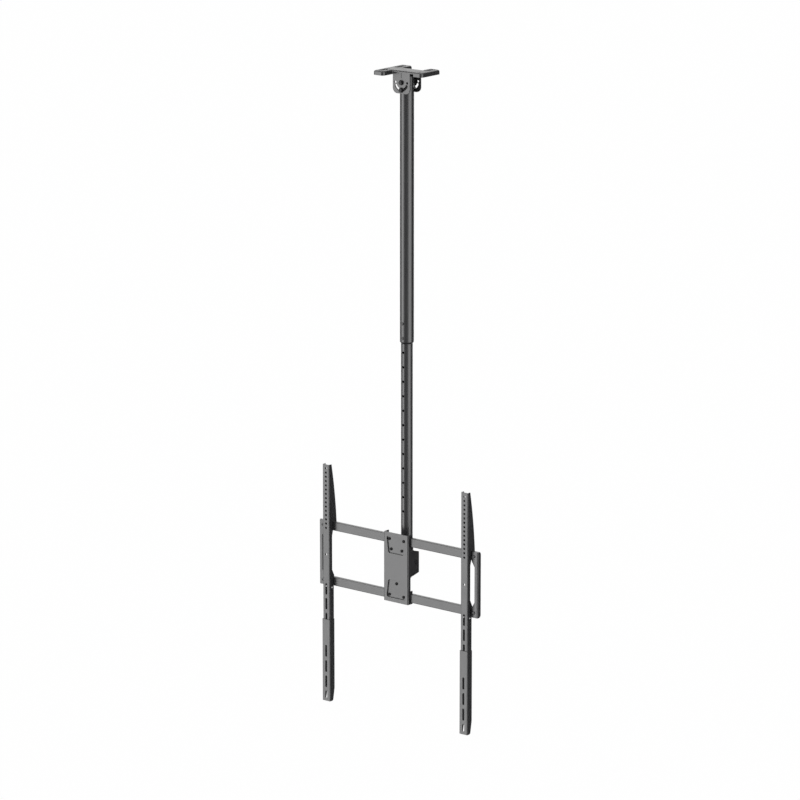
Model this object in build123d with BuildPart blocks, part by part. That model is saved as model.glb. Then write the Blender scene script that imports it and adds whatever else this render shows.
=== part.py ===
"""Ceiling mount for a television.

A folded plate on the ceiling carries a telescopic column in two ears. The head at the column's foot
swivels and tilts, and two arms hook over its rails and take the television's bolts.

Millimetres. The origin is the middle of the ceiling plate's top face, +Z is up, and the television
hangs on the -Y side.
"""
import os

from build123d import *

os.makedirs("parts", exist_ok=True)

# Fits
running_gap = 0.05
bolt_gap = 0.2
thread_gap = 0.05
free_gap = 0.3

# Tubes of the column
outer_tube_d = 47.5
outer_tube_wall = 2.5
outer_tube_length = 906.0
outer_tube_overhang = 20.0
swage_length = 6.0
swage_land = 2.5
swage_wall = 1.8
inner_tube_d = 40.0
inner_tube_wall = 2.0
inner_tube_length = 968.5
tube_overlap = 240.0
height_hole_d = 8.4
height_hole_pitch = 50.0
height_hole_top_margin = 15.0
height_hole_foot_margin = 120.0
lock_screw_rise = 20.0

# Ceiling plate, one folded sheet
ceiling_sheet = 4.0
ceiling_width = 170.0
leg_width = 45.0
front_leg_reach = 76.0
leg_reach = 73.0
long_leg_reach = 82.0
leg_corner = 11.0
rim_depth = 15.0
rim_radius = 6.5
ceiling_slot_length = 36.0
ceiling_slot_width = 9.0
ceiling_slot_offset = 42.0
ceiling_hole_offset = 12.0
bead_gap = 3.0
bead_width = 3.0
bead_depth = 1.2

# Ears and what holds the column in them
ear_width = 72.0
ear_reach = 76.0
ear_corner = 18.0
ear_side_gap = 2.5
ear_relief = 14.0
ear_corner_relief = 3.5
ear_mark_length = 16.0
ear_mark_width = 1.5
ear_mark_depth = 1.0
ear_mark_gap = 6.0
pivot_drop = 39.0
lock_radius = 25.0
lock_half_arc = 66.0
lock_slot_gap = 0.3
sleeve_d = 14.0
sleeve_end_gap = 0.1

# Bolts, nuts, washers and screws
bolt_d = 8.0
bolt_core_d = 6.6
bolt_head_across = 13.0
bolt_head_height = 5.3
nut_height = 6.5
bolt_end = 2.5
hex_face = 0.95
washer_d = 18.0
washer_thickness = 1.6
screw_d = 6.0
screw_core_d = 4.9
screw_head_d = 10.5
screw_head_height = 3.3
screw_socket_across = 4.0
screw_socket_depth = 2.0
screw_nut_across = 10.0
screw_nut_height = 5.0
screw_end = 1.5

# Swivel and tilt head
glide_length = 30.0
glide_lip = 2.0
collar_wall = 1.95
collar_length = 24.0
collar_boss_d = 14.0
collar_boss_reach = 6.0
thrust_washer_thickness = 1.5
disc_thickness = 5.0
disc_bore = 20.0
yoke_sheet = 4.0
yoke_hub_d = 52.0
yoke_leg_end = 12.0
yoke_bend = 5.5
tilt_drop = 25.0
tilt_offset = 10.0
tilt_head_d = 15.0
tilt_head_height = 2.6
tilt_washer_d = 24.0
tilt_washer_thickness = 1.5

# Rails
head_gap = 10.9
rail_height = 30.0
rail_depth = 15.0
rail_wall = 2.0
rail_corner = 2.5
upper_rail_rise = 77.3
rail_spacing = 195.5

# Rear bracket with the tilt cheeks
bracket_sheet = 4.0
cheek_half_width = 49.25
cheek_top_clear = 16.5
cheek_shoulder = 18.0
cheek_back_reach = 14.5
cheek_back_rise = 36.0
cheek_back_drop = 37.0
cheek_foot_slope = 7.0
cheek_foot_radius = 20.0
cheek_corner = 3.0
bracket_bend = 3.5
bracket_end = 9.5

# Front plate with its pressed recesses
plate_sheet = 3.5
plate_side_gap = 0.35
plate_bend = 4.0
plate_tab = 13.0
plate_flange_over = 1.8
plate_tab_over = 9.0
plate_tab_under = 13.0
recess_depth = 4.0
recess_end_margin = 14.25
upper_recess_length = 58.0
lower_recess_length = 62.5
recess_side_room = 10.0
recess_slope = 8.0
recess_corner = 7.0
recess_draft = 1.2
recess_screw_gap = 2.6
rail_screw_spread = 62.0
rail_screw_rise = 2.0
upper_recess_spread = 46.0
upper_recess_inset = 14.0
lower_recess_inset = 11.5

# End brackets
end_sheet = 3.0
end_leg = 25.3
end_bar = 13.0
end_bend = 4.0
end_flange = 17.5
end_margin = 1.5
end_corner = 10.0
end_leg_height = 33.0
end_slant = 20.0
end_screw_inset = 16.0

# Arms
arm_spacing = 600.0
arm_width = 28.8
arm_sheet = 2.5
arm_bend = 2.5
arm_standoff = 20.0
arm_end_gap = 4.0
arm_rise = 219.5
arm_drop = 213.0
arm_top_depth = 13.5
arm_mid_depth = 29.2
arm_mid_drop = 97.0
hook_thickness = 4.0
hook_drop = 17.0
hook_gap = 0.4
waist_depth = 15.0
waist_length = 120.0
waist_slope = 18.0
saddle_lip = 6.0
foot_depth = 23.1
arm_hole_d = 8.0
arm_hole_count = 15
arm_hole_pitch = 15.0
arm_hole_margin = 13.3
arm_slot_length = 41.0
arm_slot_pitch = 53.0
arm_slot_count = 4
arm_slot_drop = 25.3
flange_hole_d = 6.0
flange_hole_drop = 20.8
flange_hole_inset = 8.0

# Extensions over the arms' lower ends
extension_sheet = 2.0
extension_bend = 2.0
extension_top_drop = 133.5
extension_length = 292.5
extension_depth = 25.2
extension_taper_length = 45.0
extension_taper = 8.0
extension_corner = 6.0
extension_slot_plain = 92.0
extension_slot_length = 42.5
extension_slot_pitch = 54.6
extension_slot_count = 3
extension_last_slot = 26.0

# Places along the column, from the ceiling down
outer_r = outer_tube_d / 2
outer_bore_r = outer_r - outer_tube_wall
inner_r = inner_tube_d / 2
swage_bore_r = inner_r + running_gap
pivot_z = -pivot_drop
lock_z = pivot_z - lock_radius
outer_top_z = pivot_z + outer_tube_overhang
outer_foot_z = outer_top_z - outer_tube_length
inner_top_z = outer_foot_z + tube_overlap
inner_foot_z = inner_top_z - inner_tube_length
lock_screw_z = outer_foot_z + lock_screw_rise
yoke_under_z = inner_foot_z + thrust_washer_thickness
yoke_top_z = yoke_under_z + yoke_sheet
tilt_z = yoke_under_z - tilt_drop
upper_rail_z = tilt_z + upper_rail_rise
lower_rail_z = upper_rail_z - rail_spacing

# Places from the column's axis out to the television
collar_r = inner_r + running_gap + collar_wall
ear_inner_y = outer_r + ear_side_gap
ear_outer_y = ear_inner_y + ceiling_sheet
tilt_y = -tilt_offset
rail_back_y = -(collar_r + head_gap)
rail_mid_y = rail_back_y - rail_depth / 2
rail_front_y = rail_back_y - rail_depth
bracket_front_y = rail_front_y - bracket_sheet
recess_floor_y = bracket_front_y - plate_sheet
plate_front_y = recess_floor_y - recess_depth
arm_front_y = rail_front_y - arm_standoff
rail_half = rail_height / 2

# Places from the middle out to the rails' ends
end_leg_x = arm_spacing / 2 + arm_width / 2 + arm_end_gap
end_outer_x = end_leg_x + end_leg
end_inner_x = end_outer_x - end_sheet
rail_half_length = end_inner_x - free_gap
end_screw_x = end_outer_x - end_screw_inset


def save(piece, name):
    """Label a finished piece and write it out."""
    piece.label = name
    export_step(piece, f"parts/{name}.step")


def looking(axis, at):
    """A plane at a point whose normal is the given direction, with +Z up on it where it can be."""
    up = Vector(0, 0, 1)
    return Plane(origin=at, x_dir=up.cross(Vector(axis)), z_dir=axis)


def hexagon(seat, across, height):
    """Hexagon prism on a seat plane, its outer corners turned off to a 30 degree cone."""
    with BuildPart() as prism:
        with BuildSketch(seat):
            RegularPolygon(across / 2, 6, major_radius=False)
        extrude(amount=height)
        with BuildSketch(seat.offset(height)):
            Circle(across / 2 * hex_face)
        extrude(amount=-height, taper=-60, mode=Mode.INTERSECT)
    return prism.part


def shank(seat, grip, thread_d, core_d, end):
    """Shank that goes back from a seat plane, down to the thread's core over its free end."""
    with BuildPart() as rod:
        with BuildSketch(seat):
            Circle(thread_d / 2)
        extrude(amount=end - grip)
        with BuildSketch(seat.offset(end - grip)):
            Circle(core_d / 2)
        extrude(amount=-end)
    return rod.part


def hex_bolt(seat, grip):
    """Hexagon bolt whose head stands on a seat plane and whose shank goes back through the grip."""
    with BuildPart() as bolt:
        add(hexagon(seat, bolt_head_across, bolt_head_height))
        add(shank(seat, grip, bolt_d, bolt_core_d, bolt_end))
    return bolt.part


def hex_nut(seat, across, height, thread_d):
    """Hexagon nut that stands on a seat plane."""
    with BuildPart() as nut:
        add(hexagon(seat, across, height))
        with BuildSketch(seat):
            Circle(thread_d / 2 + thread_gap)
        extrude(amount=height, mode=Mode.SUBTRACT)
    return nut.part


def round_bolt(seat, grip):
    """Bolt with a low round head on a seat plane, its shank goes back through the grip."""
    with BuildPart() as bolt:
        with BuildSketch(seat):
            Circle(tilt_head_d / 2)
        extrude(amount=tilt_head_height)
        head_top = Axis(seat.origin, seat.z_dir)
        fillet(bolt.edges().sort_by(head_top)[-1], tilt_head_height * 0.7)
        add(shank(seat, grip, bolt_d, bolt_core_d, bolt_end))
    return bolt.part


def ring(seat, outside_d, bore_d, thickness):
    """Flat ring that stands on a seat plane."""
    with BuildPart() as washer:
        with BuildSketch(seat):
            Circle(outside_d / 2)
            Circle(bore_d / 2, mode=Mode.SUBTRACT)
        extrude(amount=thickness)
    return washer.part


def button_screw(seat, length):
    """Domed screw with a hexagon socket, its head on a seat plane."""
    with BuildPart() as screw:
        with BuildSketch(seat):
            Circle(screw_head_d / 2)
        extrude(amount=screw_head_height)
        head_top = Axis(seat.origin, seat.z_dir)
        fillet(screw.edges().sort_by(head_top)[-1], screw_head_height * 0.6)
        with BuildSketch(seat.offset(screw_head_height)):
            RegularPolygon(screw_socket_across / 2, 6, major_radius=False)
        extrude(amount=-screw_socket_depth, mode=Mode.SUBTRACT)
        add(shank(seat, length, screw_d, screw_core_d, screw_end))
    return screw.part


# Ceiling plate: the legs and bridge are one blank, its rim and both ears are folded down
leg_in_x = ceiling_width / 2 - leg_width
half_x = ceiling_width / 2
plan_points = [
    (-half_x, -front_leg_reach),
    (-leg_in_x, -front_leg_reach),
    (-leg_in_x, -ear_outer_y),
    (half_x, -ear_outer_y),
    (half_x, leg_reach),
    (leg_in_x, leg_reach),
    (leg_in_x, ear_outer_y),
    (-leg_in_x, ear_outer_y),
    (-leg_in_x, long_leg_reach),
    (-half_x, long_leg_reach),
]
leg_mid_x = half_x - leg_width / 2
ceiling_slots = [
    (-leg_mid_x, -ceiling_slot_offset),
    (-leg_mid_x, ceiling_slot_offset),
    (leg_mid_x, ceiling_slot_offset),
]
with BuildPart() as ceiling_plate:
    with BuildSketch() as plan:
        with BuildLine():
            Polyline(*plan_points, close=True)
        make_face()
        outer_corners = plan.vertices().filter_by(
            lambda v: abs(v.Y) > ear_outer_y + 1 or v.X > half_x - 1
        )
        fillet(outer_corners, leg_corner)
    extrude(amount=-rim_depth)
    fillet(ceiling_plate.faces().sort_by(Axis.Z)[-1].outer_wire().edges(), rim_radius)
    with BuildSketch(Plane.XY.offset(-rim_depth)):
        add(plan.sketch_local)
        offset(amount=-ceiling_sheet, mode=Mode.REPLACE)
    extrude(amount=rim_depth - ceiling_sheet, mode=Mode.SUBTRACT)
    for ear_back in (ear_inner_y, -ear_outer_y):
        with BuildSketch(Plane.XZ.offset(ear_back)) as ear:
            with Locations((0, -(ear_reach + rim_radius) / 2)):
                Rectangle(ear_width, ear_reach - rim_radius)
            fillet(ear.vertices().group_by(Axis.Y)[0], ear_corner)
        extrude(amount=ceiling_sheet)
    relief_height = rim_depth - rim_radius
    with BuildSketch(Plane.XZ.offset(ear_inner_y)):
        with Locations((ear_width / 2, -rim_depth)):
            Rectangle(ear_relief, relief_height, align=(Align.MIN, Align.MIN))
        with Locations((-ear_width / 2, -rim_depth)):
            Rectangle(ear_corner_relief, relief_height, align=(Align.MAX, Align.MIN))
    extrude(amount=ceiling_sheet, mode=Mode.SUBTRACT)
    with BuildSketch(Plane.XZ.offset(-ear_outer_y)):
        with Locations((ear_width / 2, -rim_depth)):
            Rectangle(ear_corner_relief, relief_height, align=(Align.MIN, Align.MIN))
        with Locations((-ear_width / 2, -rim_depth)):
            Rectangle(ear_corner_relief, relief_height, align=(Align.MAX, Align.MIN))
    extrude(amount=ceiling_sheet, mode=Mode.SUBTRACT)
    with BuildSketch(Plane.XZ):
        with BuildLine():
            lock_arc = CenterArc((0, pivot_z), lock_radius, 270 - lock_half_arc, 2 * lock_half_arc)
        SlotArc(lock_arc, bolt_d + 2 * lock_slot_gap)
        with Locations((0, pivot_z), (-lock_radius, pivot_z), (lock_radius, pivot_z)):
            Circle(bolt_d / 2 + bolt_gap)
    extrude(amount=ear_outer_y, both=True, mode=Mode.SUBTRACT)
    with BuildSketch(Plane.XZ.offset(ear_outer_y)):
        with Locations((0, pivot_z + washer_d / 2 + ear_mark_gap)):
            Rectangle(ear_mark_width, ear_mark_length, align=(Align.CENTER, Align.MIN))
    extrude(amount=-ear_mark_depth, mode=Mode.SUBTRACT)
    with BuildSketch():
        with Locations(*ceiling_slots):
            SlotOverall(ceiling_slot_length, ceiling_slot_width, rotation=90)
        with Locations((leg_mid_x, -ceiling_hole_offset)):
            Circle(ceiling_slot_width / 2)
    extrude(amount=-rim_depth, mode=Mode.SUBTRACT)
    with BuildSketch():
        bead_in = 2 * bead_gap
        bead_out = bead_in + 2 * bead_width
        with Locations(*ceiling_slots):
            SlotOverall(ceiling_slot_length + bead_out, ceiling_slot_width + bead_out, rotation=90)
        with Locations(*ceiling_slots):
            SlotOverall(
                ceiling_slot_length + bead_in,
                ceiling_slot_width + bead_in,
                rotation=90,
                mode=Mode.SUBTRACT,
            )
    extrude(amount=-bead_depth, mode=Mode.SUBTRACT)
save(ceiling_plate.part, "ceiling_plate")

# Pivot and lock bolts: each goes through both ears and a cross sleeve in the outer tube
front = (0, -1, 0)
back = (0, 1, 0)
ear_grip = 2 * (ear_outer_y + washer_thickness) + nut_height + bolt_end
for name, z in (("pivot", pivot_z), ("lock", lock_z)):
    washer_bore = bolt_d + 2 * bolt_gap
    head_seat = looking(front, (0, -ear_outer_y - washer_thickness, z))
    nut_seat = looking(back, (0, ear_outer_y + washer_thickness, z))
    save(hex_bolt(head_seat, ear_grip), f"{name}_bolt")
    save(hex_nut(nut_seat, bolt_head_across, nut_height, bolt_d), f"{name}_nut")
    with BuildPart() as washers:
        for side in (front, back):
            ear_face = looking(side, (0, side[1] * ear_outer_y, z))
            add(ring(ear_face, washer_d, washer_bore, washer_thickness))
    save(washers.part, f"{name}_washers")
    sleeve_half = ear_inner_y - sleeve_end_gap
    sleeve_end = looking(front, (0, sleeve_half, z))
    sleeve = ring(sleeve_end, sleeve_d, bolt_d + 2 * running_gap, 2 * sleeve_half)
    save(sleeve, f"{name}_sleeve")

# Outer tube: its lower end is swaged in to guide the inner tube
with BuildPart() as outer_tube:
    with BuildSketch(Plane.XZ):
        with BuildLine():
            Polyline(
                (outer_bore_r, outer_top_z),
                (outer_r, outer_top_z),
                (outer_r, outer_foot_z + swage_land + swage_length),
                (swage_bore_r + swage_wall, outer_foot_z + swage_land),
                (swage_bore_r + swage_wall, outer_foot_z),
                (swage_bore_r, outer_foot_z),
                (swage_bore_r, outer_foot_z + swage_land),
                (outer_bore_r, outer_foot_z + swage_land + swage_length),
                close=True,
            )
        make_face()
    revolve(axis=Axis.Z)
    with BuildSketch(Plane.XZ):
        with Locations((0, pivot_z), (0, lock_z)):
            Circle(sleeve_d / 2 + running_gap)
    extrude(amount=outer_r, both=True, mode=Mode.SUBTRACT)
    with BuildSketch(Plane.XZ):
        with Locations((0, lock_screw_z), (0, lock_screw_z + height_hole_pitch)):
            Circle(screw_d / 2 + thread_gap)
    extrude(amount=outer_r, mode=Mode.SUBTRACT)
save(outer_tube.part, "outer_tube")

# Column lock screws, drawn back so far that their tips just clear the inner tube
with BuildPart() as column_lock_screws:
    for z in (lock_screw_z, lock_screw_z + height_hole_pitch):
        add(button_screw(looking(front, (0, -outer_r, z)), outer_r - inner_r - 2 * free_gap))
save(column_lock_screws.part, "column_lock_screws")

# Inner tube: a row of height holes on its front, in step with the lock screws
foot_room = lock_screw_z - inner_foot_z - height_hole_foot_margin
head_room = inner_top_z - height_hole_top_margin - lock_screw_z
hole_steps = range(-int(head_room / height_hole_pitch), int(foot_room / height_hole_pitch) + 1)
height_holes = [(0, lock_screw_z - step * height_hole_pitch) for step in hole_steps]
with BuildPart() as inner_tube:
    with BuildSketch(Plane.XY.offset(inner_foot_z)):
        Circle(inner_r)
        Circle(inner_r - inner_tube_wall, mode=Mode.SUBTRACT)
    extrude(amount=inner_tube_length)
    with BuildSketch(Plane.XZ):
        with Locations(*height_holes):
            Circle(height_hole_d / 2)
    extrude(amount=inner_r, mode=Mode.SUBTRACT)
save(inner_tube.part, "inner_tube")

# Glide ring: a moulded sleeve on the inner tube's top end that runs in the outer tube
with BuildPart() as glide_ring:
    with BuildSketch(Plane.XZ):
        with BuildLine():
            Polyline(
                (inner_r + thread_gap, inner_top_z - glide_length),
                (outer_bore_r - running_gap, inner_top_z - glide_length),
                (outer_bore_r - running_gap, inner_top_z + glide_lip),
                (inner_r - inner_tube_wall, inner_top_z + glide_lip),
                (inner_r - inner_tube_wall, inner_top_z),
                (inner_r + thread_gap, inner_top_z),
                close=True,
            )
        make_face()
    revolve(axis=Axis.Z)
save(glide_ring.part, "glide_ring")

# Retaining disc and thrust washer: they carry the head at the inner tube's foot
up = Plane.XY
disc_d = 2 * collar_r
save(ring(up.offset(inner_foot_z - disc_thickness), disc_d, disc_bore, disc_thickness), "retaining_disc")
thrust_bore = inner_tube_d + 2 * free_gap
save(ring(up.offset(inner_foot_z), disc_d, thrust_bore, thrust_washer_thickness), "thrust_washer")

# Swivel collar: it turns on the inner tube, with a boss for its lock screw at the back
collar_mid_z = yoke_top_z + collar_length / 2
boss_end_y = collar_r + collar_boss_reach
with BuildPart() as swivel_collar:
    with BuildSketch(Plane.XY.offset(yoke_top_z)):
        Circle(collar_r)
    extrude(amount=collar_length)
    with BuildSketch(looking(back, (0, 0, collar_mid_z))):
        Circle(collar_boss_d / 2)
    extrude(amount=boss_end_y)
    with BuildSketch(looking(back, (0, 0, collar_mid_z))):
        Circle(screw_d / 2 + thread_gap)
    extrude(amount=boss_end_y, mode=Mode.SUBTRACT)
    with BuildSketch(Plane.XY.offset(yoke_top_z)):
        Circle(inner_r + running_gap)
    extrude(amount=collar_length, mode=Mode.SUBTRACT)
save(swivel_collar.part, "swivel_collar")
swivel_tip = boss_end_y - inner_r - free_gap
save(button_screw(looking(back, (0, boss_end_y, collar_mid_z)), swivel_tip), "swivel_lock_screw")

# Tilt yoke: a folded strap under the collar, its two legs carry the tilt bolts
cheek_in_x = cheek_half_width - bracket_sheet
yoke_half_x = cheek_in_x - tilt_washer_thickness
with BuildPart() as tilt_yoke:
    with BuildSketch(Plane.XY.offset(yoke_under_z)):
        with Locations((0, tilt_y)):
            Rectangle(2 * yoke_half_x, 2 * yoke_leg_end)
        Circle(yoke_hub_d / 2)
    extrude(amount=yoke_sheet)
    with BuildSketch(Plane.YZ.offset(yoke_half_x - yoke_sheet)):
        with Locations((tilt_y, tilt_z)):
            leg_height = yoke_top_z - tilt_z
            Rectangle(2 * yoke_leg_end, leg_height, align=(Align.CENTER, Align.MIN))
            Circle(yoke_leg_end)
            Circle(bolt_d / 2 + running_gap, mode=Mode.SUBTRACT)
    leg = extrude(amount=yoke_sheet)
    mirror(leg, about=Plane.YZ)
    bend_edges = tilt_yoke.edges().filter_by(Axis.Y).filter_by(
        lambda e: e.center().Z > yoke_top_z - 0.1 and abs(e.center().X) > yoke_half_x - 0.1
    )
    fillet(bend_edges, yoke_bend)
    with BuildSketch(Plane.XY.offset(yoke_under_z)):
        Circle(inner_r + free_gap)
    extrude(amount=yoke_sheet, mode=Mode.SUBTRACT)
save(tilt_yoke.part, "tilt_yoke")

# Tilt bolts, their nuts, and the friction washers between the yoke's legs and the cheeks
tilt_grip = bracket_sheet + tilt_washer_thickness + yoke_sheet + nut_height + bolt_end
sides = {"left": -1, "right": 1}
with BuildPart() as tilt_bolts:
    for side in sides.values():
        add(round_bolt(looking((side, 0, 0), (side * cheek_half_width, tilt_y, tilt_z)), tilt_grip))
save(tilt_bolts.part, "tilt_bolts")
with BuildPart() as tilt_nuts:
    for side in sides.values():
        leg_face = looking((-side, 0, 0), (side * (yoke_half_x - yoke_sheet), tilt_y, tilt_z))
        add(hex_nut(leg_face, bolt_head_across, nut_height, bolt_d))
save(tilt_nuts.part, "tilt_nuts")
with BuildPart() as tilt_washers:
    for side in sides.values():
        leg_face = looking((side, 0, 0), (side * yoke_half_x, tilt_y, tilt_z))
        add(ring(leg_face, tilt_washer_d, bolt_d + 2 * bolt_gap, tilt_washer_thickness))
save(tilt_washers.part, "tilt_washers")

# Screw places on the front plate: in line with the rails, and in the recesses beside them
upper_screw_z = upper_rail_z + rail_screw_rise
lower_screw_z = lower_rail_z + rail_screw_rise
recess_reach = screw_head_d / 2 + recess_draft + recess_screw_gap
upper_recess_z = upper_screw_z + recess_reach
lower_recess_z = lower_screw_z - recess_reach
upper_narrow_z = upper_recess_z - upper_recess_length
lower_narrow_z = lower_recess_z + lower_recess_length
plate_top_z = upper_recess_z + recess_end_margin
plate_foot_z = lower_recess_z - recess_end_margin
half_spread = rail_screw_spread / 2
upper_rail_screws = [(-half_spread, upper_screw_z), (half_spread, upper_screw_z)]
lower_rail_screws = [(-half_spread, lower_screw_z), (half_spread, lower_screw_z)]
recess_screws = [
    (-upper_recess_spread / 2, upper_narrow_z + upper_recess_inset),
    (upper_recess_spread / 2, upper_narrow_z + upper_recess_inset),
    (0, lower_narrow_z - lower_recess_inset),
]
rail_screws = upper_rail_screws + lower_rail_screws
screw_hole_r = screw_d / 2 + bolt_gap

# Rear bracket: a folded channel behind the front plate, its cheeks reach back to the tilt bolts
cheek_top_z = upper_rail_z - rail_half - cheek_top_clear
cheek_back_y = tilt_y + cheek_back_reach
cheek_low_z = tilt_z - cheek_back_drop
foot_arc_y = rail_front_y + cheek_foot_radius
cheek_foot_z = cheek_low_z - cheek_foot_slope
foot_arc_z = cheek_foot_z - cheek_foot_radius
with BuildPart() as rear_bracket:
    with BuildSketch(Plane.XZ.offset(-rail_front_y)):
        with Locations((0, lower_rail_z - bracket_end)):
            web_height = rail_spacing + 2 * bracket_end
            Rectangle(2 * cheek_half_width, web_height, align=(Align.CENTER, Align.MIN))
    extrude(amount=bracket_sheet)
    with BuildSketch(Plane.YZ.offset(cheek_in_x)) as cheek:
        with BuildLine():
            Polyline(
                (rail_front_y, foot_arc_z),
                (bracket_front_y, foot_arc_z),
                (bracket_front_y, cheek_top_z),
                (rail_front_y + cheek_shoulder, cheek_top_z),
                (cheek_back_y, tilt_z + cheek_back_rise),
                (cheek_back_y, cheek_low_z),
                (foot_arc_y, cheek_foot_z),
            )
            CenterArc((foot_arc_y, foot_arc_z), cheek_foot_radius, 90, 90)
        make_face()
        fillet(cheek.vertices().group_by(Axis.X)[-1], cheek_corner)
        with Locations((tilt_y, tilt_z)):
            Circle(bolt_d / 2 + bolt_gap, mode=Mode.SUBTRACT)
    cheek_wall = extrude(amount=bracket_sheet)
    mirror(cheek_wall, about=Plane.YZ)
    fillet(rear_bracket.edges().filter_by(Axis.Z).group_by(Axis.Y)[0], bracket_bend)
    with BuildSketch(Plane.XZ.offset(-rail_front_y)):
        with Locations(*rail_screws, *recess_screws):
            Circle(screw_hole_r)
    extrude(amount=bracket_sheet, mode=Mode.SUBTRACT)
save(rear_bracket.part, "rear_bracket")

# Front plate: a folded channel with two pressed recesses, its side flanges straddle the rails
plate_in_x = cheek_half_width + plate_side_gap
plate_half_x = plate_in_x + plate_sheet


def recess_outline(y, grow):
    """Trapezoids of both recesses at a depth, wide towards the plate's ends, grown all round."""
    wide_x = half_spread + recess_side_room
    narrow_x = wide_x - recess_slope
    with BuildSketch(Plane.XZ.offset(-y)) as outline:
        for wide_z, narrow_z in ((upper_recess_z, upper_narrow_z), (lower_recess_z, lower_narrow_z)):
            with BuildSketch(Plane.XY) as one:
                with BuildLine():
                    Polyline(
                        (-wide_x, wide_z),
                        (wide_x, wide_z),
                        (narrow_x, narrow_z),
                        (-narrow_x, narrow_z),
                        close=True,
                    )
                make_face()
                fillet(one.vertices(), recess_corner)
                offset(amount=grow, mode=Mode.REPLACE)
    return outline.sketch


with BuildPart() as front_plate:
    with BuildSketch(Plane.XY.offset(plate_foot_z)):
        with Locations((0, plate_front_y)):
            plate_depth = rail_front_y + plate_tab - plate_front_y
            Rectangle(2 * plate_half_x, plate_depth, align=(Align.CENTER, Align.MIN))
    extrude(amount=plate_top_z - plate_foot_z)
    fillet(front_plate.edges().filter_by(Axis.Z).group_by(Axis.Y)[0], plate_bend)
    with BuildSketch(Plane.XY.offset(plate_foot_z)):
        with Locations((0, plate_front_y + plate_sheet)):
            Rectangle(2 * plate_in_x, plate_depth, align=(Align.CENTER, Align.MIN))
    extrude(amount=plate_top_z - plate_foot_z, mode=Mode.SUBTRACT)
    with BuildSketch(Plane.YZ):
        notch_height = rail_height + 2 * free_gap
        with Locations((rail_front_y, upper_rail_z), (rail_front_y, lower_rail_z)):
            Rectangle(rail_depth, notch_height, align=(Align.MIN, Align.CENTER))
        tab_top_z = lower_rail_z + rail_half + plate_tab_over
        tab_foot_z = upper_rail_z - rail_half - plate_tab_under
        with Locations((rail_front_y + plate_flange_over, tab_top_z)):
            Rectangle(rail_depth, tab_foot_z - tab_top_z, align=(Align.MIN, Align.MIN))
    extrude(amount=plate_half_x, both=True, mode=Mode.SUBTRACT)
    mouth = recess_outline(plate_front_y, 0.0).faces()
    floor = recess_outline(recess_floor_y, -recess_draft).faces()
    shell_mouth = recess_outline(plate_front_y + plate_sheet, plate_sheet - recess_draft).faces()
    shell_floor = recess_outline(bracket_front_y, plate_sheet - 2 * recess_draft).faces()
    for lower, upper in zip(shell_mouth.sort_by(Axis.Z), shell_floor.sort_by(Axis.Z)):
        loft([lower, upper])
    for lower, upper in zip(mouth.sort_by(Axis.Z), floor.sort_by(Axis.Z)):
        loft([lower, upper], mode=Mode.SUBTRACT)
    with BuildSketch(Plane.XZ.offset(-bracket_front_y)):
        with Locations(*rail_screws, *recess_screws):
            Circle(screw_hole_r)
    extrude(amount=bracket_front_y - plate_front_y, mode=Mode.SUBTRACT)
save(front_plate.part, "front_plate")

# Rails: two rectangular tubes that carry the arms
rails = {"upper": (upper_rail_z, upper_rail_screws), "lower": (lower_rail_z, lower_rail_screws)}
for name, (z, screws) in rails.items():
    with BuildPart() as rail:
        with BuildSketch(Plane.YZ.offset(-rail_half_length)):
            with Locations((rail_mid_y, z)):
                RectangleRounded(rail_depth, rail_height, rail_corner)
                inner_depth = rail_depth - 2 * rail_wall
                inner_height = rail_height - 2 * rail_wall
                Rectangle(inner_depth, inner_height, mode=Mode.SUBTRACT)
        extrude(amount=2 * rail_half_length)
        with BuildSketch(Plane.XZ.offset(-rail_front_y)):
            with Locations(*screws):
                Circle(screw_hole_r)
        extrude(amount=-rail_depth, mode=Mode.SUBTRACT)
        with BuildSketch(Plane.XZ.offset(-rail_front_y)):
            with Locations((-end_screw_x, z), (end_screw_x, z)):
                Circle(screw_d / 2 + thread_gap)
        extrude(amount=-rail_wall, mode=Mode.SUBTRACT)
    save(rail.part, f"{name}_rail")

# Plate screws and nuts: the outer four go through the rails, the others only through the bracket
sandwich = rail_front_y - recess_floor_y
rail_grip = rail_back_y - recess_floor_y
with BuildPart() as plate_screws:
    for x, z in rail_screws:
        head_seat = looking(front, (x, recess_floor_y, z))
        add(button_screw(head_seat, rail_grip + screw_nut_height + screw_end))
    for x, z in recess_screws:
        head_seat = looking(front, (x, recess_floor_y, z))
        add(button_screw(head_seat, sandwich + screw_nut_height + screw_end))
save(plate_screws.part, "plate_screws")
with BuildPart() as plate_nuts:
    for x, z in rail_screws:
        nut_seat = looking(back, (x, rail_back_y, z))
        add(hex_nut(nut_seat, screw_nut_across, screw_nut_height, screw_d))
    for x, z in recess_screws:
        nut_seat = looking(back, (x, rail_front_y, z))
        add(hex_nut(nut_seat, screw_nut_across, screw_nut_height, screw_d))
save(plate_nuts.part, "plate_nuts")

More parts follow.
